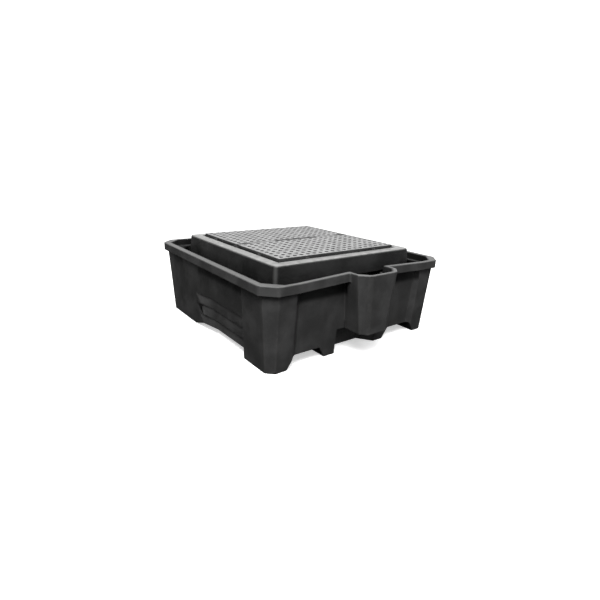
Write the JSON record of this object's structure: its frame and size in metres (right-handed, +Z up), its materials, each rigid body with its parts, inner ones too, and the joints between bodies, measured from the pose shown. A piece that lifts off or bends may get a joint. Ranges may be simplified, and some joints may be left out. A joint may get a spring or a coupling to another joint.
{
  "type": "spill containment pallet",
  "caption": "Moulded plastic spill pallet for an intermediate bulk container: open sump with fork pockets and a dispensing bowl, raised deck frame and lift-out drain grates.",
  "frame": {"origin": "on the floor under the centre foot, midway between the rim's two sides and midway between its front and rear", "axes": "+Z up; -Y towards the front, where the dispensing bowl is; +X to the right seen from the front"},
  "size_m": [1.7, 1.85, 0.693],
  "materials": {
    "sump": "matte moulded polyethylene",
    "deck_frame": "matte moulded polyethylene",
    "grate": "textured anti-slip polyethylene",
    "column": "matte pipe plastic"
  },
  "bodies": {
    "sump": {"sump": "sump", "column_front_left": "column", "column_front_middle": "column", "column_front_right": "column", "column_middle_left": "column", "column_centre": "column", "column_middle_right": "column", "column_rear_left": "column", "column_rear_middle": "column", "column_rear_right": "column"},
    "deck_frame": {"deck_frame": "deck_frame"},
    "grate_front": {"grate_front": "grate"},
    "grate_rear": {"grate_rear": "grate"}
  },
  "joints": [
    {"name": "deck_frame_lift", "type": "slide", "parent": "sump", "child": "deck_frame", "axis": [0, 0, 1], "range_m": [0, 0.6]},
    {"name": "grate_front_lift", "type": "slide", "parent": "deck_frame", "child": "grate_front", "axis": [0, 0, 1], "range_m": [0, 0.15]},
    {"name": "grate_rear_lift", "type": "slide", "parent": "deck_frame", "child": "grate_rear", "axis": [0, 0, 1], "range_m": [0, 0.15]}
  ]
}
